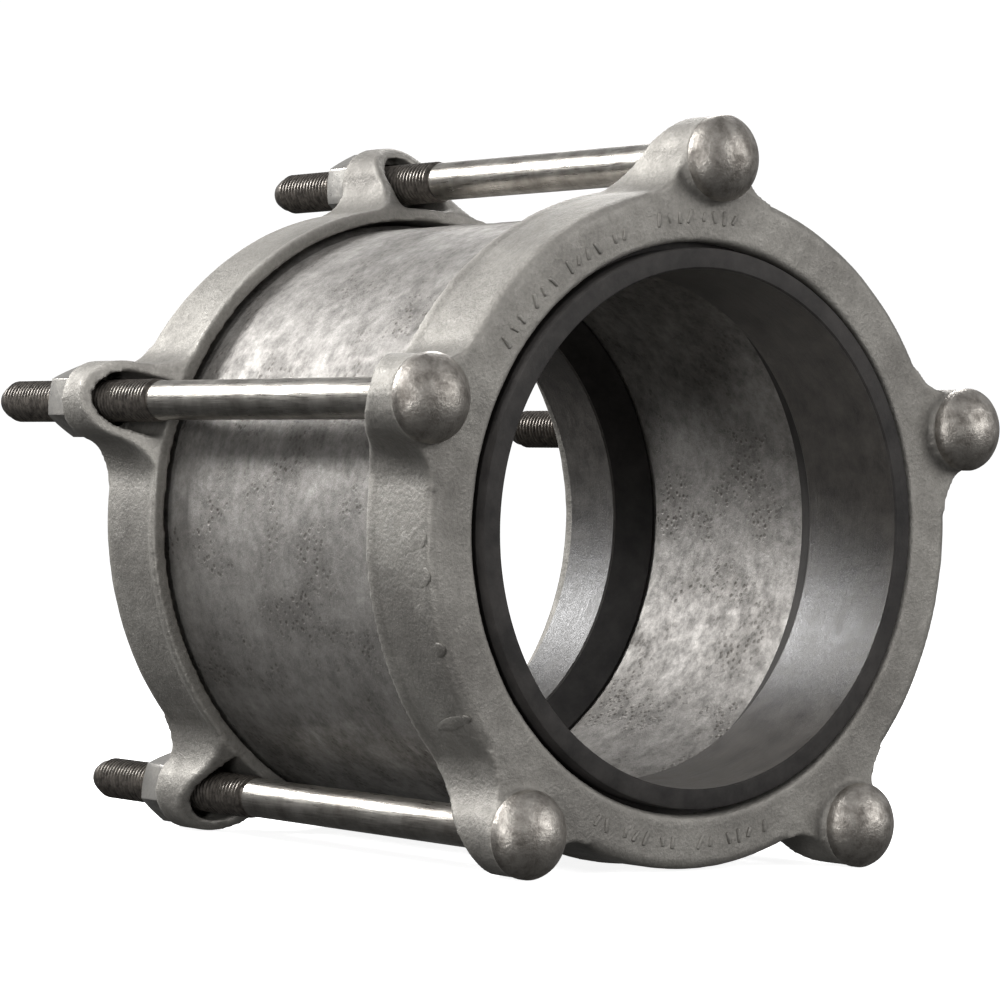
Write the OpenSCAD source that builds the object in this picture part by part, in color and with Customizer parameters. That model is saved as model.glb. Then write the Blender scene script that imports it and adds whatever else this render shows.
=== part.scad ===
// Bolted sleeve coupling for 8 inch steel pipe.
// The pipe axis is Y: bolt heads at -Y, nuts at +Y, one bolt straight up (+Z).
// The origin is on the axis, halfway between the two follower faces.

/* [Pipe and gaskets] */
// Outside diameter of the pipe that the coupling joins
pipe_od = 219.1; // [168.3:0.1:273.1]
// Radial clearance between the pipe and a slack gasket
pipe_gap = 0.45; // [0.1:0.05:1]
// Rubber thickness between the pipe and the sleeve
gasket_wall = 11.2; // [8:0.1:16]
// How far a gasket reaches into the sleeve from the sleeve's end
gasket_reach = 48.4; // [36:0.1:60]
// Length of the taper at the gasket's inner end
toe_taper = 17; // [8:0.5:25]
// Thickness of the gasket flange between the sleeve and the follower
flange_t = 10.5; // [6:0.1:16]
// Thickness of the front gasket's lip that stands in the follower bore
lip_wall = 8.9; // [6:0.1:14]
// How far the lip stands out past the follower face
lip_proud = 3; // [0.5:0.1:5]
// Clearance between the rubber and the iron at rest
rubber_gap = 0.3; // [0.2:0.05:1]

/* [Middle sleeve] */
// Overall length of the sleeve
sleeve_len = 203.2; // [170:0.1:260]
// Wall thickness of the sleeve
sleeve_wall = 13.5; // [10:0.1:20]
// Depth of the flared mouth at each end
mouth_depth = 15.6; // [10:0.1:24]
// How much wider the mouth is than the bore, on the radius
mouth_flare = 9.5; // [5:0.1:12]
// Length of the raised collar at each end
collar_len = 12; // [6:0.5:18]
// Height of the raised collar
collar_h = 2; // [1:0.1:3]
// How much narrower the cast bore is at its middle, on the radius
draft_h = 2; // [0.5:0.1:4]

/* [Follower rings] */
// Clearance between the gasket lip and the follower bore
bore_gap = 2.6; // [1:0.1:5]
// Thickness of the follower's front plate
plate_t = 10; // [7:0.1:16]
// Depth of the follower from face to free edge
follower_depth = 42.6; // [34:0.1:56]
// Clearance between the sleeve and the skirt
skirt_gap = 4; // [3:0.1:8]
// Wall thickness of the skirt
skirt_wall = 5.5; // [4:0.1:9]
// Height of the bead round the free edge
bead_h = 0.9; // [0.4:0.1:2]
// Width of the bead
bead_w = 4; // [2:0.5:8]

/* [Bolt lugs] */
// Number of bolts
bolt_count = 5; // [5]
// Distance from the skirt's outside to the bolt axis
bolt_standoff = 12.5; // [12:0.1:20]
// Outside radius of a lug round its bolt
lug_r = 18; // [16:0.1:24]
// Wall thickness of the lug's open cup
lug_wall = 5; // [3:0.1:7]
// Depth of the lug's outer edge, measured from the face
lug_edge = 13; // [11.5:0.1:30]
// Radius of the fillet between a lug and the skirt
lug_fillet = 20; // [10:0.5:30]
// Height of the round pad under a bolt head or nut
pad_h = 3; // [1:0.1:6]

/* [Bolts and nuts] */
// Thread diameter
bolt_d = 19.05; // [15.875:0.001:22.225]
// How much thinner the plain shank is than the thread, on the diameter
shank_less = 1.65; // [0.5:0.05:3]
// Thread that stands out past the nut
past_nut = 56.3; // [30:0.1:90]
// Length of the thread
thread_len = 130; // [110:1:180]
// Diameter of the domed head
head_d = 36.8; // [32:0.5:44]
// Height of the head
head_h = 14; // [11:0.1:20]
// Height of the upright edge of the head
head_edge = 4; // [2:0.1:6]
// Depth of the oval neck under the head
neck_len = 8; // [5:0.1:12]
// How much longer than wide the oval neck is
neck_stretch = 6; // [3:0.1:8]
// Clearance round the oval neck in its slot
slot_gap = 0.7; // [0.4:0.1:1.5]
// Width of a nut across its flats
nut_af = 28.58; // [27:0.01:34]
// Thickness of a nut
nut_h = 16.3; // [12:0.1:22]
// Radial running clearance between nut and bolt
thread_fit = 0.08; // [0.03:0.01:0.1]

/* [Hidden] */
$fn = 96;

gasket_r = pipe_od / 2 + pipe_gap;
sleeve_bore_r = gasket_r + gasket_wall + rubber_gap;
sleeve_r = sleeve_bore_r + sleeve_wall;
sleeve_half = sleeve_len / 2;
lip_r = gasket_r + lip_wall;
bore_r = lip_r + bore_gap;
skirt_in_r = sleeve_r + skirt_gap;
ring_r = skirt_in_r + skirt_wall;
plate_in = sleeve_half + flange_t + 2 * rubber_gap;
face_at = plate_in + plate_t;
rim_at = face_at - follower_depth;
seat_at = face_at + pad_h;
bolt_r = ring_r + bolt_standoff;
bolt_tip = seat_at + nut_h + past_nut;
flange_r = sleeve_bore_r + mouth_flare + 3;
edge_round = 4;
blend = 0.2;
wedge_gap = 1.3 * rubber_gap;
cut = 1;

// Angles of the five bolts, anticlockwise from +X seen from the head side
function bolt_angle(k) = 90 + 360 / bolt_count * k;

// Turns a shape built up along +Z so that it points along the pipe axis, +Y
module along_pipe() { rotate([-90, 0, 0]) children(); }

// Puts a shape built round Z on the axis of bolt k
module at_bolt(k) {
    rotate([0, -bolt_angle(k), 0])
        translate([bolt_r, 0, 0])
            along_pipe() children();
}

// Cast sleeve: plain barrel, its bore drafted from both ends to a ridge in the middle, its mouths flared
module middle_sleeve() {
    collar_r = sleeve_r + collar_h;
    mouth_r = sleeve_bore_r + mouth_flare;
    collar_at = sleeve_half - collar_len;
    mouth_at = sleeve_half - mouth_depth;
    draft_at = sleeve_half - gasket_reach - 2;
    outside = [[collar_r, sleeve_half], [collar_r, collar_at], [sleeve_r, collar_at - 3 * collar_h]];
    inside = [[sleeve_bore_r, draft_at], [sleeve_bore_r, mouth_at], [mouth_r, sleeve_half]];
    color("#8d8a86")
        along_pipe()
            rotate_extrude()
                polygon(concat(
                    outside,
                    [[sleeve_r, -collar_at + 3 * collar_h], [collar_r, -collar_at], [collar_r, -sleeve_half]],
                    [[mouth_r, -sleeve_half], [sleeve_bore_r, -mouth_at], [sleeve_bore_r, -draft_at]],
                    [[sleeve_bore_r - draft_h, 0]],
                    inside
                ));
}

// Round part of a follower: plate, skirt and the bead on the skirt's free edge
module follower_ring() {
    rotate_extrude()
        polygon([
            [bore_r, plate_in],
            [bore_r, face_at - 1.5],
            [bore_r + 1.5, face_at],
            [ring_r - edge_round, face_at],
            [ring_r - edge_round * 0.3, face_at - edge_round * 0.3],
            [ring_r, face_at - edge_round],
            [ring_r, rim_at + bead_w + bead_h],
            [ring_r + bead_h, rim_at + bead_w],
            [ring_r + bead_h, rim_at],
            [skirt_in_r, rim_at],
            [skirt_in_r, plate_in - 3],
            [skirt_in_r - 3, plate_in]
        ]);
}

// Solid lug along +X with a fillet down each flank and its outer edge cut back on a slope
module lug_solid() {
    to_ring = ring_r + lug_fillet;
    to_lug = lug_r + lug_fillet;
    swing = acos((to_ring * to_ring + bolt_r * bolt_r - to_lug * to_lug) / (2 * to_ring * bolt_r));
    centre = [to_ring * cos(swing), to_ring * sin(swing)];
    foot_r = skirt_in_r + skirt_wall / 2;
    foot = [foot_r * cos(swing), foot_r * sin(swing)];
    start_x = ring_r - 1;
    slope = (face_at - lug_edge - rim_at) / (bolt_r + lug_r - start_x);
    far_x = bolt_r + lug_r + 10;
    difference() {
        union() {
            translate([bolt_r, 0, rim_at + 1]) cylinder(r = lug_r, h = seat_at - rim_at - 1);
            translate([0, 0, rim_at + 1])
                linear_extrude(follower_depth - 1 - blend)
                    polygon([
                        [foot_r, 0],
                        [foot[0], -foot[1]],
                        [centre[0], -centre[1]],
                        [bolt_r, 0],
                        centre,
                        foot
                    ]);
        }
        for (side = [-1, 1])
            translate([centre[0], side * centre[1], rim_at - cut])
                cylinder(r = lug_fillet + blend, h = follower_depth + pad_h + 2 * cut);
        rotate([90, 0, 0])
            linear_extrude(2 * to_lug, center = true)
                polygon([
                    [start_x, rim_at],
                    [far_x, rim_at + slope * (far_x - start_x)],
                    [far_x, rim_at - cut],
                    [start_x, rim_at - cut]
                ]);
    }
}

// Space inside a lug's cup, outside the skirt
module lug_pocket() {
    pocket_r = lug_r - lug_wall;
    difference() {
        union() {
            translate([bolt_r, 0, rim_at - cut]) cylinder(r = pocket_r, h = plate_in - rim_at + cut);
            translate([ring_r - 2, -pocket_r, rim_at - cut])
                cube([bolt_r - ring_r + 2, 2 * pocket_r, plate_in - rim_at + cut]);
        }
        translate([0, 0, rim_at - 2 * cut]) cylinder(r = ring_r + 2 * blend, h = follower_depth + cut);
    }
}

// Oval bar along +Z: the bolt neck, and with a clearance its slot
module oval_bar(width, stretch, h) {
    for (side = [-1, 1])
        translate([0, side * stretch / 2, 0]) cylinder(d = width, h = h);
    translate([-width / 2, -stretch / 2, 0]) cube([width, stretch, h]);
}

// One follower ring, facing +Z
module follower() {
    difference() {
        union() {
            follower_ring();
            for (k = [0:bolt_count - 1]) rotate([0, 0, -bolt_angle(k)]) lug_solid();
        }
        for (k = [0:bolt_count - 1])
            rotate([0, 0, -bolt_angle(k)]) {
                lug_pocket();
                translate([bolt_r, 0, plate_in - cut])
                    oval_bar(bolt_d + 2 * slot_gap, neck_stretch, plate_t + pad_h + 2 * cut);
            }
    }
}

module back_follower() { color("#7d7a76") along_pipe() follower(); }
module front_follower() { color("#7d7a76") mirror([0, 1, 0]) along_pipe() follower(); }

// Inner end and flank shared by both gaskets, from the toe out to the flange
function gasket_flank() = [
    [flange_r, plate_in - rubber_gap],
    [flange_r, sleeve_half + rubber_gap],
    [sleeve_bore_r + mouth_flare - wedge_gap, sleeve_half + rubber_gap],
    [sleeve_bore_r - wedge_gap, sleeve_half - mouth_depth + rubber_gap],
    [sleeve_bore_r - rubber_gap, sleeve_half - mouth_depth - 2],
    [sleeve_bore_r - rubber_gap, sleeve_half - gasket_reach],
    [gasket_r, sleeve_half - gasket_reach + toe_taper]
];

// Front gasket: its lip stands out through the follower bore, a little past the face
module front_gasket() {
    lip_end = face_at + lip_proud;
    color("#2b2a29")
        mirror([0, 1, 0])
            along_pipe()
                rotate_extrude()
                    polygon(concat(gasket_flank(), [
                        [gasket_r, lip_end],
                        [lip_r, lip_end],
                        [lip_r, plate_in - rubber_gap]
                    ]));
}

// Back gasket: it ends at the flange, and opens out towards the follower
module back_gasket() {
    color("#2b2a29")
        along_pipe()
            rotate_extrude()
                polygon(concat(gasket_flank(), [
                    [gasket_r, sleeve_half + rubber_gap],
                    [sleeve_bore_r, plate_in - rubber_gap]
                ]));
}

// Bolt k: domed head, oval neck, plain shank and thread
module bolt(k) {
    dome_h = head_h - head_edge;
    dome_r = (head_d * head_d / 4 + dome_h * dome_h) / (2 * dome_h);
    color("#a5a29d")
        at_bolt(k) {
            translate([0, 0, -seat_at - head_h])
                intersection() {
                    translate([0, 0, dome_r]) sphere(r = dome_r);
                    cylinder(d = head_d, h = head_h);
                }
            translate([0, 0, -seat_at]) oval_bar(bolt_d, neck_stretch, neck_len);
            translate([0, 0, -seat_at])
                cylinder(d = bolt_d - shank_less, h = seat_at + bolt_tip - thread_len + cut);
            translate([0, 0, bolt_tip - thread_len]) cylinder(d = bolt_d, h = thread_len - 4);
            translate([0, 0, bolt_tip - 4]) cylinder(d1 = bolt_d, d2 = bolt_d - 6, h = 4);
        }
}

// Nut k: hexagon with its corners turned off at both ends
module nut(k) {
    corner_r = nut_af / sqrt(3);
    turned_r = corner_r + 1;
    turn_off = (turned_r - nut_af / 2) * 0.6;
    color("#c4c1bc")
        at_bolt(k)
            translate([0, 0, seat_at])
                difference() {
                    intersection() {
                        rotate([0, 0, 17 * k]) cylinder(r = corner_r, h = nut_h, $fn = 6);
                        rotate_extrude()
                            polygon([
                                [0, 0],
                                [nut_af / 2, 0],
                                [turned_r, turn_off],
                                [turned_r, nut_h - turn_off],
                                [nut_af / 2, nut_h],
                                [0, nut_h]
                            ]);
                    }
                    translate([0, 0, -cut]) cylinder(r = bolt_d / 2 + thread_fit, h = nut_h + 2 * cut);
                }
}

middle_sleeve();
front_follower();
back_follower();
front_gasket();
back_gasket();
bolt(0);  // bolt_top
bolt(1);  // bolt_upper_left
bolt(2);  // bolt_lower_left
bolt(3);  // bolt_lower_right
bolt(4);  // bolt_upper_right
nut(0);  // nut_top
nut(1);  // nut_upper_left
nut(2);  // nut_lower_left
nut(3);  // nut_lower_right
nut(4);  // nut_upper_right
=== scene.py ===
import math
import bpy
import numpy as np
from mathutils import Matrix, Vector


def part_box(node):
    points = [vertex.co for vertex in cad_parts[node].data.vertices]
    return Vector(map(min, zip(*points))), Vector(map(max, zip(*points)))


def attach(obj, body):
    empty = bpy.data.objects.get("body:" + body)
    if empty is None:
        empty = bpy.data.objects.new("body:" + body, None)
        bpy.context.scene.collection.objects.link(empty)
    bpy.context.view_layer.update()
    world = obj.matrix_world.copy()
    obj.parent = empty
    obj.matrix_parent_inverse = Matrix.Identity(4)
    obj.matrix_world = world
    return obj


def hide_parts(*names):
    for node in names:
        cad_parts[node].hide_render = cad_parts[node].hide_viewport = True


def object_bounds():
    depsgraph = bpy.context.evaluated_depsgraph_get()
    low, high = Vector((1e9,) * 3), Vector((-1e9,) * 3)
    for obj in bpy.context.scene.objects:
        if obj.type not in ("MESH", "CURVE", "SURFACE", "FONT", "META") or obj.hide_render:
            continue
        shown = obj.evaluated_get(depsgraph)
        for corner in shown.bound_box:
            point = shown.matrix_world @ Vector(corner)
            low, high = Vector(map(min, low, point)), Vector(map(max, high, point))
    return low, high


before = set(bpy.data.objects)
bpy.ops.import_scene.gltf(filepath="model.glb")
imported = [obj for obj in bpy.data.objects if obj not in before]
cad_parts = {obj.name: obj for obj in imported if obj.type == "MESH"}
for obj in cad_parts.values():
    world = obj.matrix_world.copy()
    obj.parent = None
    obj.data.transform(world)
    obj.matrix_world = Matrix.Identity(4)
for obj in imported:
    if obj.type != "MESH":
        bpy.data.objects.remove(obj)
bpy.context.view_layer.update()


def colour(code):
    """An sRGB hex colour as Blender's linear values."""
    parts = [int(code[i:i + 2], 16) / 255 for i in (1, 3, 5)]
    return [c / 12.92 if c <= 0.04045 else ((c + 0.055) / 1.055) ** 2.4 for c in parts] + [1.0]


def add(material, kind, inputs=None, **settings):
    """Adds a node. An input's value is a number, a colour or the output socket that feeds it."""
    made = material.node_tree.nodes.new(kind)
    for key, value in settings.items():
        setattr(made, key, value)
    for key, value in (inputs or {}).items():
        if isinstance(value, bpy.types.NodeSocket):
            material.node_tree.links.new(value, made.inputs[key])
        else:
            made.inputs[key].default_value = value
    return made


def new_material(name):
    material = bpy.data.materials.new(name)
    material.use_nodes = True
    material.node_tree.nodes.clear()
    return material


def noise(material, place, scale, detail, roughness=0.5):
    """Cloudy values from 0 to 1, with so many clouds to a metre."""
    return add(material, "ShaderNodeTexNoise", {
        "Vector": place, "Scale": scale, "Detail": detail, "Roughness": roughness}).outputs["Fac"]


def two_tones(material, value, low, dark, high, light):
    """Colours a value: dark up to low, light from high on."""
    ramp = add(material, "ShaderNodeValToRGB", {"Fac": value})
    for stop, place, code in zip(ramp.color_ramp.elements, (low, high), (dark, light)):
        stop.position = place
        stop.color = colour(code)
    return ramp.outputs["Color"]


def spread(material, value, low, high, to_low, to_high):
    """Carries a value from one range over to another."""
    return add(material, "ShaderNodeMapRange", {
        "Value": value, "From Min": low, "From Max": high, "To Min": to_low, "To Max": to_high}).outputs[0]


def tint(material, share, first, second, blend="MIX"):
    """Mixes a share of the second colour into the first, or multiplies them."""
    return add(material, "ShaderNodeMix", {0: share, 6: first, 7: second},
               data_type="RGBA", blend_type=blend).outputs[2]


def weigh(material, value, share, other):
    """Adds a share of one value to another."""
    return add(material, "ShaderNodeMath", {0: value, 1: share, 2: other},
               operation="MULTIPLY_ADD").outputs[0]


def give_surface(material, settings):
    """Ends a material in one shader with these settings."""
    shader = add(material, "ShaderNodeBsdfPrincipled", settings)
    add(material, "ShaderNodeOutputMaterial", {"Surface": shader.outputs[0]})


def pick(*pieces):
    """Selects these pieces and nothing else, the first one active."""
    bpy.ops.object.select_all(action="DESELECT")
    for piece in pieces:
        piece.select_set(True)
    bpy.context.view_layer.objects.active = pieces[0]


def turn(name, profile, steps, closed):
    """Turns a profile of (radius, place along Y) in mm, drawing a ring out from station to station."""
    bpy.ops.object.select_all(action="DESELECT")
    radius, place = profile[0]
    bpy.ops.mesh.primitive_circle_add(
        vertices=steps, radius=radius / 1000, location=(0, place / 1000, 0), rotation=(math.pi / 2, 0, 0))
    piece = bpy.context.object
    piece.name = piece.data.name = name
    bpy.ops.object.transform_apply(location=True, rotation=True, scale=True)
    bpy.ops.object.mode_set(mode="EDIT")
    bpy.ops.mesh.select_all(action="SELECT")
    if not closed:
        bpy.ops.mesh.edge_face_add()
    for next_radius, next_place in profile[1:] + ([profile[0]] if closed else []):
        bpy.ops.mesh.extrude_region_move(
            TRANSFORM_OT_translate={"value": (0, (next_place - place) / 1000, 0)})
        size = next_radius / radius
        bpy.ops.transform.resize(value=(size, 1, size), center_override=(0, next_place / 1000, 0))
        radius, place = next_radius, next_place
    bpy.ops.mesh.select_all(action="SELECT")
    bpy.ops.mesh.remove_doubles(threshold=0.00001)
    bpy.ops.mesh.normals_make_consistent(inside=False)
    bpy.ops.object.mode_set(mode="OBJECT")
    return piece


def stations(start, end, pitch):
    """Points (radius, place) from start towards end, no more than a pitch apart, without the end itself."""
    count = max(1, math.ceil(math.dist(start, end) / pitch))
    return [tuple(a + (b - a) * i / count for a, b in zip(start, end)) for i in range(count)]


def ruffle(piece, grain, height):
    """Gives a cast or forged skin its unevenness: grain across in metres, height from peak to valley."""
    clouds = bpy.data.textures.new(piece.name + "_skin", "CLOUDS")
    clouds.noise_scale = grain
    clouds.noise_depth = 3
    skin = piece.modifiers.new("skin", "DISPLACE")
    skin.texture = clouds
    skin.texture_coords = "LOCAL"
    skin.mid_level = 0.5
    skin.strength = height
    bpy.context.view_layer.objects.active = piece
    bpy.ops.object.modifier_apply(modifier=skin.name)


def finish_piece(piece, material, body, nodes, angle=35):
    """Shades a piece smooth up to an angle and hands it over: its body, what it replaces."""
    pick(piece)
    bpy.ops.object.shade_smooth_by_angle(angle=math.radians(angle))
    if material:
        piece.data.materials.clear()
        piece.data.materials.append(material)
    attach(piece, body)
    if nodes:
        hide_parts(*nodes)


sleeve_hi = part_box("middle_sleeve")[1]
collar_r = 1000 * sleeve_hi[0]
half = 1000 * sleeve_hi[1]
barrel_r, bore_r, mouth_r = collar_r - 2, collar_r - 15.5, collar_r - 6
ridge_r = bore_r - 2
corners = [
    (collar_r - 0.8, half), (collar_r, half - 0.8), (collar_r, half - 12), (barrel_r, half - 18),
    (barrel_r, -half + 18), (collar_r, -half + 12), (collar_r, -half + 0.8), (collar_r - 0.8, -half),
    (mouth_r, -half), (bore_r, -half + 15.6), (bore_r, -half + 50.4), (ridge_r, -0.6), (ridge_r, 0.6),
    (bore_r, half - 50.4), (bore_r, half - 15.6), (mouth_r, half)]
outline = []
for a, b in zip(corners, corners[1:] + corners[:1]):
    outline += stations(a, b, 3.2)
sleeve = turn("sleeve_casting", outline, 288, True)
ruffle(sleeve, 0.03, 0.0008)
ruffle(sleeve, 0.009, 0.0003)

# Sand-cast ductile iron, bare: a dull grey metal with pits a millimetre or two across, paler
# where it has been rubbed and browner where it has begun to tarnish. The pits get painted shade.
sleeve_iron = new_material("ductile_iron_sand_cast_pitted")
place = add(sleeve_iron, "ShaderNodeTexCoord").outputs["Object"]
patches = noise(sleeve_iron, place, 32, 8, 0.62)
mottle = noise(sleeve_iron, place, 150, 8, 0.78)
grain = noise(sleeve_iron, place, 900, 3, 0.6)
pits = add(sleeve_iron, "ShaderNodeTexVoronoi", {"Vector": place, "Scale": 330, "Randomness": 1.0})
pit_depth = spread(sleeve_iron, pits.outputs["Distance"], 0.05, 0.4, 0.0, 1.0)
pit_where = spread(sleeve_iron, patches, 0.36, 0.5, 0.0, 1.0)
pit_mask = add(sleeve_iron, "ShaderNodeMath", {0: pit_depth, 1: pit_where}, operation="MAXIMUM")
tone = two_tones(sleeve_iron, patches, 0.32, "#74716d", 0.68, "#9f9c98")
speckle = spread(sleeve_iron, mottle, 0.3, 0.7, 0.55, 1.35)
shade = tint(sleeve_iron, 1.0, tone, speckle, "MULTIPLY")
# Painted shade: the pits are darkened towards #5b5651, where shade would fall into them.
pitted = tint(sleeve_iron, pit_mask.outputs[0], colour("#5b5651"), shade)
bump_mix = weigh(sleeve_iron, mottle, 0.8, pit_mask.outputs[0])
bump_all = weigh(sleeve_iron, grain, 0.3, bump_mix)
relief = add(sleeve_iron, "ShaderNodeBump", {"Height": bump_all, "Strength": 0.5, "Distance": 0.0007})
gloss = spread(sleeve_iron, mottle, 0.25, 0.75, 0.72, 0.5)
give_surface(sleeve_iron, {
    "Base Color": pitted, "Metallic": 0.7, "Roughness": gloss, "Normal": relief.outputs[0]})
finish_piece(sleeve, sleeve_iron, "middle", ["middle_sleeve"])

# Follower rings: two ductile iron castings from one pattern, with five hollow lugs each.
# The edges come from the mould rounded, and the bolt bosses stand a little proud of the face.
follower_iron = new_material("ductile_iron_sand_cast_fine")
place = add(follower_iron, "ShaderNodeTexCoord").outputs["Object"]
cloud = noise(follower_iron, place, 26, 7, 0.6)
sand = noise(follower_iron, place, 620, 4, 0.65)
dents = noise(follower_iron, place, 130, 5, 0.6)
edge = add(follower_iron, "ShaderNodeAttribute", attribute_name="edge")
tone = two_tones(follower_iron, cloud, 0.3, "#7b7873", 0.7, "#9e9b95")
speckle = spread(follower_iron, sand, 0.3, 0.7, 0.82, 1.12)
shade = tint(follower_iron, 1.0, tone, speckle, "MULTIPLY")
worn = spread(follower_iron, edge.outputs["Fac"], 0.0, 1.0, 0.0, 0.75)
worn_shade = tint(follower_iron, worn, shade, colour("#c9c5be"))
# Painted shade: hollows and inside corners are darkened towards #47433f.
painted_hollow_shade = spread(follower_iron, edge.outputs["Fac"], 0.0, -1.0, 0.0, 0.7)
final = tint(follower_iron, painted_hollow_shade, worn_shade, colour("#47433f"))
height = weigh(follower_iron, dents, 1.6, sand)
relief = add(follower_iron, "ShaderNodeBump", {"Height": height, "Strength": 0.6, "Distance": 0.0006})
gloss = spread(follower_iron, dents, 0.25, 0.75, 0.72, 0.52)
give_surface(follower_iron, {
    "Base Color": final, "Metallic": 0.7, "Roughness": gloss, "Normal": relief.outputs[0]})


def mark_edges(piece, reach=0.00045):
    """Writes the point attribute that the follower material reads: towards 1 on an edge, which rubs bright,
    towards -1 in a hollow, which the material darkens with painted shade.
    """
    mesh = piece.data
    count = len(mesh.vertices)
    where = np.empty(count * 3)
    facing = np.empty(count * 3)
    mesh.vertices.foreach_get("co", where)
    mesh.vertices.foreach_get("normal", facing)
    where, facing = where.reshape(-1, 3), facing.reshape(-1, 3)
    ends = np.empty(len(mesh.edges) * 2, dtype=np.int64)
    mesh.edges.foreach_get("vertices", ends)
    ends = ends.reshape(-1, 2)
    number = np.bincount(ends.ravel(), minlength=count).astype(float)
    number[number == 0] = 1
    bend = np.zeros(count)
    for a, b in ((0, 1), (1, 0)):
        step = where[ends[:, b]] - where[ends[:, a]]
        bend -= np.bincount(ends[:, a], (step * facing[ends[:, a]]).sum(1), minlength=count)
    bend /= number
    for _ in range(3):
        around = np.bincount(ends[:, 0], bend[ends[:, 1]], minlength=count)
        around += np.bincount(ends[:, 1], bend[ends[:, 0]], minlength=count)
        bend = (bend + around / number) / 2
    layer = mesh.attributes.new("edge", "FLOAT", "POINT")
    layer.data.foreach_set("value", np.clip(bend / reach, -1, 1))


def copy_of(source, name):
    """A new piece with its own copy of another's mesh."""
    piece = bpy.data.objects.new(name, source.data.copy())
    bpy.context.collection.objects.link(piece)
    return piece


def cast_follower(node, name):
    """Remeshes a copy of the node's solid and rubs its edges down, as a casting's are."""
    piece = copy_of(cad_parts[node], name)
    pick(piece)
    bpy.ops.object.mode_set(mode="EDIT")
    bpy.ops.mesh.select_all(action="SELECT")
    bpy.ops.mesh.remove_doubles(threshold=0.000001)
    bpy.ops.object.mode_set(mode="OBJECT")
    remesh = piece.modifiers.new("mould", "REMESH")
    remesh.mode = "VOXEL"
    remesh.voxel_size = 0.00136
    bpy.ops.object.modifier_apply(modifier=remesh.name)
    smooth = piece.modifiers.new("fettle", "SMOOTH")
    smooth.factor = 0.5
    smooth.iterations = 3
    bpy.ops.object.modifier_apply(modifier=smooth.name)
    ruffle(piece, 0.02, 0.0005)
    mark_edges(piece)
    return piece


front_ring = cast_follower("front_follower", "front_follower_casting")

# Foundry tally marks: plain raised bars cast on the front face, and stubs on its rim where the
# runners were knocked off and rubbed down.
boss_h = 3
face_y = 1000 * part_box("front_follower")[0][1] + boss_h
rim_r = 0.1441
bpy.ops.object.select_all(action="DESELECT")
bpy.ops.mesh.primitive_cube_add(size=1)
bar = bpy.context.object
bar.scale = (0.0018, 0.0015, 0.0064)
bpy.ops.object.transform_apply(location=True, rotation=True, scale=True)
soft = bar.modifiers.new("soft", "BEVEL")
soft.width, soft.segments, soft.limit_method = 0.0007, 3, "NONE"
bpy.ops.object.modifier_apply(modifier=soft.name)
marks = []
rows = (
    (130.5, (146, 143, 140.6, 136, 133.4, 130.6, 126, 123.5, 121, 118.6, 114, 111.6)),
    (132, (103, 100.5, 98, 95.6, 92, 89.6, 87.2, 84.8)),
    (133, (-113, -110.6, -106, -103.5, -101, -97, -94.6, -88, -85.5, -81, -78.5, -76, -72)))
bars = [(radius, angle) for radius, angles in rows for angle in angles]
for k, (radius, angle) in enumerate(bars):
    turned = math.radians(angle)
    where = Vector((radius / 1000 * math.cos(turned), face_y / 1000, radius / 1000 * math.sin(turned)))
    lean = (0.25, -0.3, 0.0, 0.45)[k % 4]
    spin = Matrix.Rotation(math.pi / 2 - turned + lean, 4, "Y")
    size = Matrix.Diagonal((1, 1, (1.0, 0.7, 0.85)[k % 3], 1))
    copy = copy_of(bar, "mark")
    copy.data.transform(Matrix.Translation(where) @ spin @ size)
    marks.append(copy)
bpy.ops.mesh.primitive_uv_sphere_add(segments=28, ring_count=14, radius=1)
stub = bpy.context.object
for angle, at, wide, long, proud in (
        (-176.5, -111, 6, 10, 0.6), (-170.5, -114, 5, 8, 0.55), (-164.5, -112, 4.5, 7, 0.5),
        (-158.5, -117, 3.5, 6, 0.6), (-145, -108, 3.2, 15, 0.7)):
    spin = Matrix.Rotation(-math.radians(angle), 4, "Y")
    out_to = Matrix.Translation((rim_r, at / 1000, 0))
    lean = Matrix.Rotation(0.25, 4, "X")
    size = Matrix.Diagonal((proud / 1000, long / 1000, wide / 1000, 1))
    copy = copy_of(stub, "mark")
    copy.data.transform(spin @ out_to @ lean @ size)
    marks.append(copy)
bpy.data.objects.remove(bar)
bpy.data.objects.remove(stub)
pick(*marks)
bpy.ops.object.join()
marks[0].name = marks[0].data.name = "cast_marks"
ruffle(marks[0], 0.004, 0.0006)
finish_piece(marks[0], follower_iron, "front_clamp", [], 60)
finish_piece(front_ring, follower_iron, "front_clamp", ["front_follower"], 180)
back_ring = cast_follower("back_follower", "back_follower_casting")
finish_piece(back_ring, follower_iron, "back_clamp", ["back_follower"], 180)

# Gaskets: moulded rubber rings, wedged between the sleeve's mouth and each follower. The bore
# is smooth from the moulding core, and the ends are duller.
front_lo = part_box("front_gasket")[0]
back_lo, back_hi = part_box("back_gasket")
toe = 1000 * back_lo[1]
flange_end = 1000 * back_hi[1]
flange_r = 1000 * back_hi[0]
wall = 11.5
inner_r = bore_r - wall
flank = [
    (flange_r, flange_end), (flange_r, half + 0.3), (bore_r + 9.1, half + 0.3),
    (bore_r - 0.4, half - 15.3), (bore_r - 0.3, half - 17.6), (bore_r - 0.3, toe)]
nose = [(bore_r - 1.2, toe), (inner_r + 0.6, toe + 15.9), (inner_r, toe + 17)]
lip_end = -1000 * front_lo[1]
front_shape = flank + nose + [
    (inner_r, lip_end - 0.8), (inner_r + 0.7, lip_end), (inner_r + 7.2, lip_end),
    (inner_r + 8.4, lip_end - 0.5), (inner_r + 8.9, lip_end - 1.7), (inner_r + 8.9, flange_end)]
back_shape = flank + nose + [
    (inner_r, half + 0.3), (bore_r - 1, flange_end - 0.6), (bore_r, flange_end)]
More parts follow.
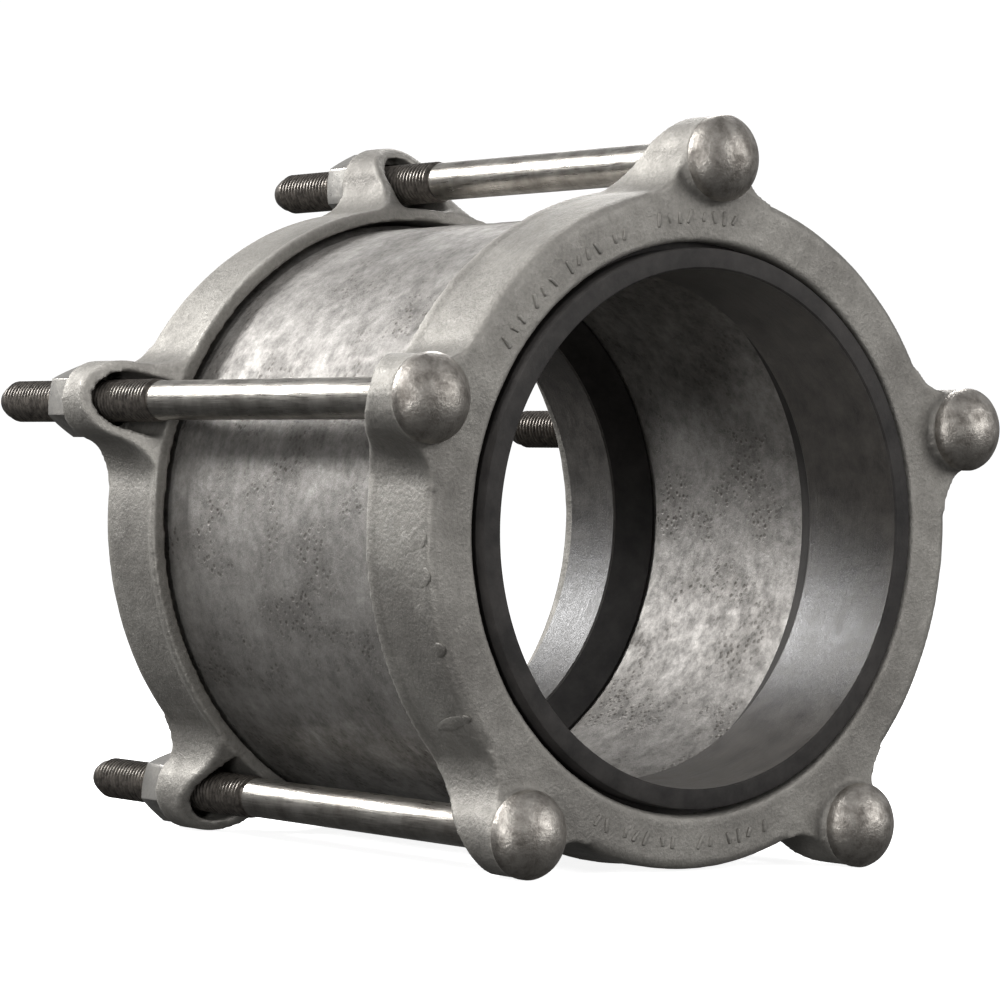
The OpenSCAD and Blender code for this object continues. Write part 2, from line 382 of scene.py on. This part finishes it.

# Moulded black rubber: the bore is polished by the core, drawn round in fine streaks, and shines.
# Its colour is painted paler than the same rubber's matt ends: a painted sheen.
rubber_bore = new_material("moulded_black_rubber_polished_painted_sheen")
place = add(rubber_bore, "ShaderNodeTexCoord").outputs["Object"]
round_it = add(rubber_bore, "ShaderNodeMapping", {"Vector": place, "Scale": (0.06, 1.0, 0.06)})
streaks = noise(rubber_bore, round_it.outputs[0], 900, 8, 0.75)
smears = noise(rubber_bore, place, 90, 9, 0.75)
# Painted sheen: both tones stand paler than the matt ends; the smears between them are bloom.
bloom = two_tones(rubber_bore, smears, 0.35, "#35322f", 0.7, "#5a5651")
both = weigh(rubber_bore, streaks, 0.6, smears)
dull = spread(rubber_bore, both, 0.55, 1.05, 0.3, 0.52)
relief = add(rubber_bore, "ShaderNodeBump", {"Height": both, "Strength": 0.7, "Distance": 0.0004})
give_surface(rubber_bore, {
    "Base Color": bloom, "Roughness": dull, "Normal": relief.outputs[0],
    "IOR": 1.52, "Specular IOR Level": 0.8})

# The same rubber off the mould's flat faces: matt, brown-black and a little dusty.
rubber_end = new_material("moulded_black_rubber_matt")
place = add(rubber_end, "ShaderNodeTexCoord").outputs["Object"]
smears = noise(rubber_end, place, 60, 7, 0.65)
fine = noise(rubber_end, place, 700, 3)
bloom = two_tones(rubber_end, smears, 0.35, "#282625", 0.7, "#403d3b")
relief = add(rubber_end, "ShaderNodeBump", {"Height": fine, "Strength": 0.35, "Distance": 0.0003})
give_surface(rubber_end, {
    "Base Color": bloom, "Roughness": 0.72, "Normal": relief.outputs[0], "IOR": 1.52,
    "Specular IOR Level": 0.3})

for name, node, shape, side in (
        ("front_gasket_ring", "front_gasket", front_shape, -1),
        ("back_gasket_ring", "back_gasket", back_shape, 1)):
    gasket = turn(name, [(r, side * y) for r, y in shape], 240, True)
    finish_piece(gasket, rubber_end, node, [node], 25)
    gasket.data.materials.append(rubber_bore)
    for face in gasket.data.polygons:
        spot = face.center * 1000
        if math.hypot(spot.x, spot.z) < inner_r + 0.3:
            face.material_index = 1

# Bolts: forged in one piece with a low domed head and an oval neck that keys into the
# follower. The shank is bright drawn steel and the thread is rolled, dark with oil.
bolt_lo, bolt_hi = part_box("bolt_top")
bolt_r = 500 * (bolt_lo[2] + bolt_hi[2])
head_r = 500 * (bolt_hi[0] - bolt_lo[0])
head_h, neck_h, thread_len = 14, 8, 130
neck_r, shank_r, thread_root_r = 9.5, 8.7, 8.05
head_top, tip = 1000 * bolt_lo[1], 1000 * bolt_hi[1]
seat = head_top + head_h
thread_start = tip - thread_len
dome_h = 10
dome_r = (head_r ** 2 + dome_h ** 2) / (2 * dome_h)
profile = [(0.4, head_top)]
for i in range(1, 15):
    turn_angle = math.asin(head_r / dome_r) * i / 15
    profile.append((dome_r * math.sin(turn_angle), head_top + dome_r * (1 - math.cos(turn_angle))))
profile += [
    (head_r - 0.5, seat - 4.6), (head_r, seat - 3.4), (head_r, seat - 0.8), (head_r - 0.8, seat),
    (neck_r, seat), (neck_r, seat + neck_h), (shank_r, seat + neck_h + 2), (shank_r, seat + 90),
    (shank_r, thread_start - 1.2), (8.9, thread_start), (thread_root_r, thread_start + 1.5),
    (thread_root_r, tip - 4), (6.6, tip - 0.6), (5.9, tip)]

# Hot-forged carbon steel, for the heads and necks: satin, its grey clouded where scale came off.
forged = new_material("forged_steel_satin")
place = add(forged, "ShaderNodeTexCoord").outputs["Object"]
scale_noise = noise(forged, place, 170, 6, 0.6)
fine = noise(forged, place, 900, 3, 0.6)
tone = two_tones(forged, scale_noise, 0.33, "#77726c", 0.66, "#b9b4ad")
gloss = spread(forged, scale_noise, 0.3, 0.7, 0.58, 0.4)
height = weigh(forged, scale_noise, 2.0, fine)
relief = add(forged, "ShaderNodeBump", {"Height": height, "Strength": 0.5, "Distance": 0.0004})
give_surface(forged, {
    "Base Color": tone, "Metallic": 0.95, "Roughness": gloss, "Normal": relief.outputs[0]})

# Cold-drawn carbon steel, for the shanks: bright, with fine lines along it from the die.
drawn_steel = new_material("drawn_steel_bright")
place = add(drawn_steel, "ShaderNodeTexCoord").outputs["Object"]
along = add(drawn_steel, "ShaderNodeMapping", {"Vector": place, "Scale": (1.0, 0.05, 1.0)})
lines = noise(drawn_steel, along.outputs[0], 1400, 4)
stain = noise(drawn_steel, place, 60, 6, 0.65)
tone = two_tones(drawn_steel, stain, 0.35, "#8a857e", 0.7, "#c4c0b9")
gloss = spread(drawn_steel, lines, 0.3, 0.7, 0.24, 0.4)
relief = add(drawn_steel, "ShaderNodeBump", {"Height": lines, "Strength": 0.3, "Distance": 0.0002})
give_surface(drawn_steel, {
    "Base Color": tone, "Metallic": 1.0, "Roughness": gloss, "Normal": relief.outputs[0]})

# The same steel where the thread was rolled: dark with the oil that sits in it.
oiled = new_material("rolled_thread_black_oiled")
place = add(oiled, "ShaderNodeTexCoord").outputs["Object"]
stain = noise(oiled, place, 350, 5, 0.6)
tone = two_tones(oiled, stain, 0.35, "#45413d", 0.75, "#7c766f")
relief = add(oiled, "ShaderNodeBump", {"Height": stain, "Strength": 0.3, "Distance": 0.0002})
give_surface(oiled, {
    "Base Color": tone, "Metallic": 0.8, "Roughness": 0.38, "Normal": relief.outputs[0]})

bolt = turn("bolt", profile, 56, False)
bpy.ops.object.mode_set(mode="EDIT")
bpy.ops.mesh.select_all(action="SELECT")
bpy.ops.mesh.fill_holes(sides=0)
bpy.ops.object.mode_set(mode="OBJECT")

# The rolled thread: one ridge drawn round the root in a helix of 2.54 mm pitch, ten to the inch.
bpy.ops.object.select_all(action="DESELECT")
pitch = 2.54
turns = int((tip - 4.5 - (thread_start + 1.5)) / pitch) - 1
first = thread_start + 2.8
mid_r, crest_r, buried_r = 0.0086, 0.009505, 0.0078
bpy.ops.mesh.primitive_plane_add(size=0.002, location=(mid_r, first / 1000, 0))
ridge = bpy.context.object
ridge.name = "ridge"
bpy.ops.object.transform_apply(location=True, rotation=True, scale=True)
for vertex in ridge.data.vertices:
    outer = vertex.co.x > mid_r
    up = 1 if vertex.co.y * 1000 > first else -1
    vertex.co.x = crest_r if outer else buried_r
    vertex.co.y = (first + up * (0.28 if outer else 1.22)) / 1000
bpy.context.view_layer.objects.active = ridge
helix = ridge.modifiers.new("helix", "SCREW")
helix.axis = "Y"
helix.steps = helix.render_steps = 28
helix.iterations = turns
helix.screw_offset = pitch / 1000
helix.use_merge_vertices = False
bpy.ops.object.modifier_apply(modifier=helix.name)
bpy.ops.object.mode_set(mode="EDIT")
bpy.ops.mesh.select_all(action="SELECT")
bpy.ops.mesh.remove_doubles(threshold=0.000005)
bpy.ops.mesh.fill_holes(sides=8)
bpy.ops.mesh.normals_make_consistent(inside=False)
bpy.ops.object.mode_set(mode="OBJECT")

# The oval neck: a round one, drawn out sideways by a third.
bpy.ops.object.select_all(action="DESELECT")
bpy.ops.mesh.primitive_cylinder_add(
    vertices=40, radius=neck_r / 1000, depth=0.0082, location=(0, (seat + 4.0) / 1000, 0),
    rotation=(math.pi / 2, 0, 0))
neck = bpy.context.object
neck.scale = (1.31, 1, 1)
bpy.ops.object.transform_apply(location=True, rotation=True, scale=True)

for piece in (bolt, ridge, neck):
    piece.data.materials.clear()
    for material in (forged, drawn_steel, oiled):
        piece.data.materials.append(material)
for face in bolt.data.polygons:
    y = face.center.y * 1000
    face.material_index = 0 if y < seat + neck_h else 1 if y < thread_start - 0.5 else 2
for face in ridge.data.polygons:
    face.material_index = 2

pick(bolt, ridge, neck)
bpy.ops.object.join()

names = ["top", "upper_left", "lower_left", "lower_right", "upper_right"]
for k, name in enumerate(names):
    angle = math.radians(90 + 72 * k)
    where = Vector((bolt_r / 1000 * math.cos(angle), 0, bolt_r / 1000 * math.sin(angle)))
    spin = Matrix.Rotation(math.pi / 2 - angle, 4, "Y")
    copy = copy_of(bolt, "forged_bolt_" + name)
    copy.data.transform(Matrix.Translation(where) @ spin)
    finish_piece(copy, None, "front_clamp", ["bolt_" + name], 32)
bpy.data.objects.remove(bolt)

# Nuts: plain hexagons of cold-formed steel, with their corners turned off. Each takes its
# node's own faces, with the edges broken by a small bevel.

# Bright zinc plate over the steel: pale, smooth and a little cloudy.
zinc = new_material("steel_bright_zinc_plated")
place = add(zinc, "ShaderNodeTexCoord").outputs["Object"]
bloom = noise(zinc, place, 220, 5, 0.6)
tone = two_tones(zinc, bloom, 0.3, "#a5a29c", 0.7, "#dcd9d3")
gloss = spread(zinc, bloom, 0.3, 0.7, 0.42, 0.26)
relief = add(zinc, "ShaderNodeBump", {"Height": bloom, "Strength": 0.25, "Distance": 0.0003})
give_surface(zinc, {
    "Base Color": tone, "Metallic": 1.0, "Roughness": gloss, "Normal": relief.outputs[0]})
for name in names:
    nut = copy_of(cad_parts["nut_" + name], "hex_nut_" + name)
    pick(nut)
    bpy.ops.object.mode_set(mode="EDIT")
    bpy.ops.mesh.select_all(action="SELECT")
    bpy.ops.mesh.remove_doubles(threshold=0.000001)
    bpy.ops.mesh.dissolve_limited(angle_limit=math.radians(0.5))
    bpy.ops.object.mode_set(mode="OBJECT")
    bevel = nut.modifiers.new("corners", "BEVEL")
    bevel.width = 0.0004
    bevel.segments = 2
    bevel.limit_method = "ANGLE"
    bevel.angle_limit = math.radians(28)
    bpy.ops.object.modifier_apply(modifier=bevel.name)
    finish_piece(nut, zinc, "nut_" + name, ["nut_" + name], 30)

# The stage: a plain pale floor under the lowest point, and a plain room that the camera sees
# as white and the metal as grey, darker below than above. Five soft lamps light it.
floor_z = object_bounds()[0][2] - 0.0002
bpy.ops.object.select_all(action="DESELECT")
bpy.ops.mesh.primitive_plane_add(size=30, location=(0, 0, floor_z))
floor = bpy.context.object
floor.name = "floor"

# White paper: matt and even, with a glow of its own that stands in for its lighting.
paper = new_material("white_paper_floor")
give_surface(paper, {
    "Base Color": colour("#e8e8e8"), "Roughness": 0.9,
    "Emission Color": (1, 1, 1, 1), "Emission Strength": 0.88})
floor.data.materials.append(paper)
floor.visible_diffuse = False
floor.visible_glossy = False

world = bpy.data.worlds.new("room")
bpy.context.scene.world = world
world.use_nodes = True
world.node_tree.nodes.clear()
place = add(world, "ShaderNodeTexCoord").outputs["Generated"]
height = add(world, "ShaderNodeSeparateXYZ", {0: place})
level = add(world, "ShaderNodeMapRange", {
    "Value": height.outputs["Z"], "From Min": -0.45, "From Max": 0.55})
above = add(world, "ShaderNodeValToRGB", {"Fac": level.outputs[0]})
above.color_ramp.elements[0].color = (0.1, 0.1, 0.1, 1)
above.color_ramp.elements[1].color = (0.62, 0.62, 0.63, 1)
ray = add(world, "ShaderNodeLightPath")
lit = add(world, "ShaderNodeBackground", {"Color": above.outputs["Color"], "Strength": 0.62})
seen = add(world, "ShaderNodeBackground", {"Color": (1.0, 1.0, 1.0, 1.0), "Strength": 1.05})
both = add(world, "ShaderNodeMixShader", {
    0: ray.outputs["Is Camera Ray"], 1: lit.outputs[0], 2: seen.outputs[0]})
add(world, "ShaderNodeOutputWorld", {"Surface": both.outputs[0]})

for name, spot, size, power in (
        ("key_back_left", (-0.95, 1.5, 0.95), (0.55, 0.45), 38),
        ("high_left", (-1.2, -0.15, 1.1), (0.4, 0.4), 12),
        ("strip_by_camera", (-1.5, -0.9, -0.1), (0.2, 1.1), 20),
        ("front_fill", (1.3, -2.0, 0.7), (1.8, 1.4), 27),
        ("back_right", (0.9, 0.9, 1.2), (0.5, 0.5), 14)):
    lamp = bpy.data.lights.new(name, "AREA")
    lamp.shape = "RECTANGLE"
    lamp.size, lamp.size_y = size
    lamp.energy = power
    holder = bpy.data.objects.new(name, lamp)
    bpy.context.collection.objects.link(holder)
    holder.location = spot
    holder.rotation_euler = (-Vector(spot)).to_track_quat("-Z", "Y").to_euler()

# The camera stands level with the pipe axis, 38 degrees round to the left of it.
eye = bpy.data.cameras.new("camera")
eye.sensor_width = 36
eye.lens = 135.3
eye.shift_x, eye.shift_y = -0.0235, 0.0232
camera = bpy.data.objects.new("camera", eye)
bpy.context.collection.objects.link(camera)
across = Vector((0.78603, -0.61724, 0.03414))
up = Vector((-0.02753, 0.02023, 0.99942))
ahead = Vector((0.61757, 0.78651, 0.00109))
stand = Matrix((across, up, -ahead)).transposed().to_4x4()
stand.translation = (-1.04237, -1.32752, -0.00185)
camera.matrix_world = stand
bpy.context.scene.camera = camera
bpy.context.scene.view_settings.view_transform = "Standard"
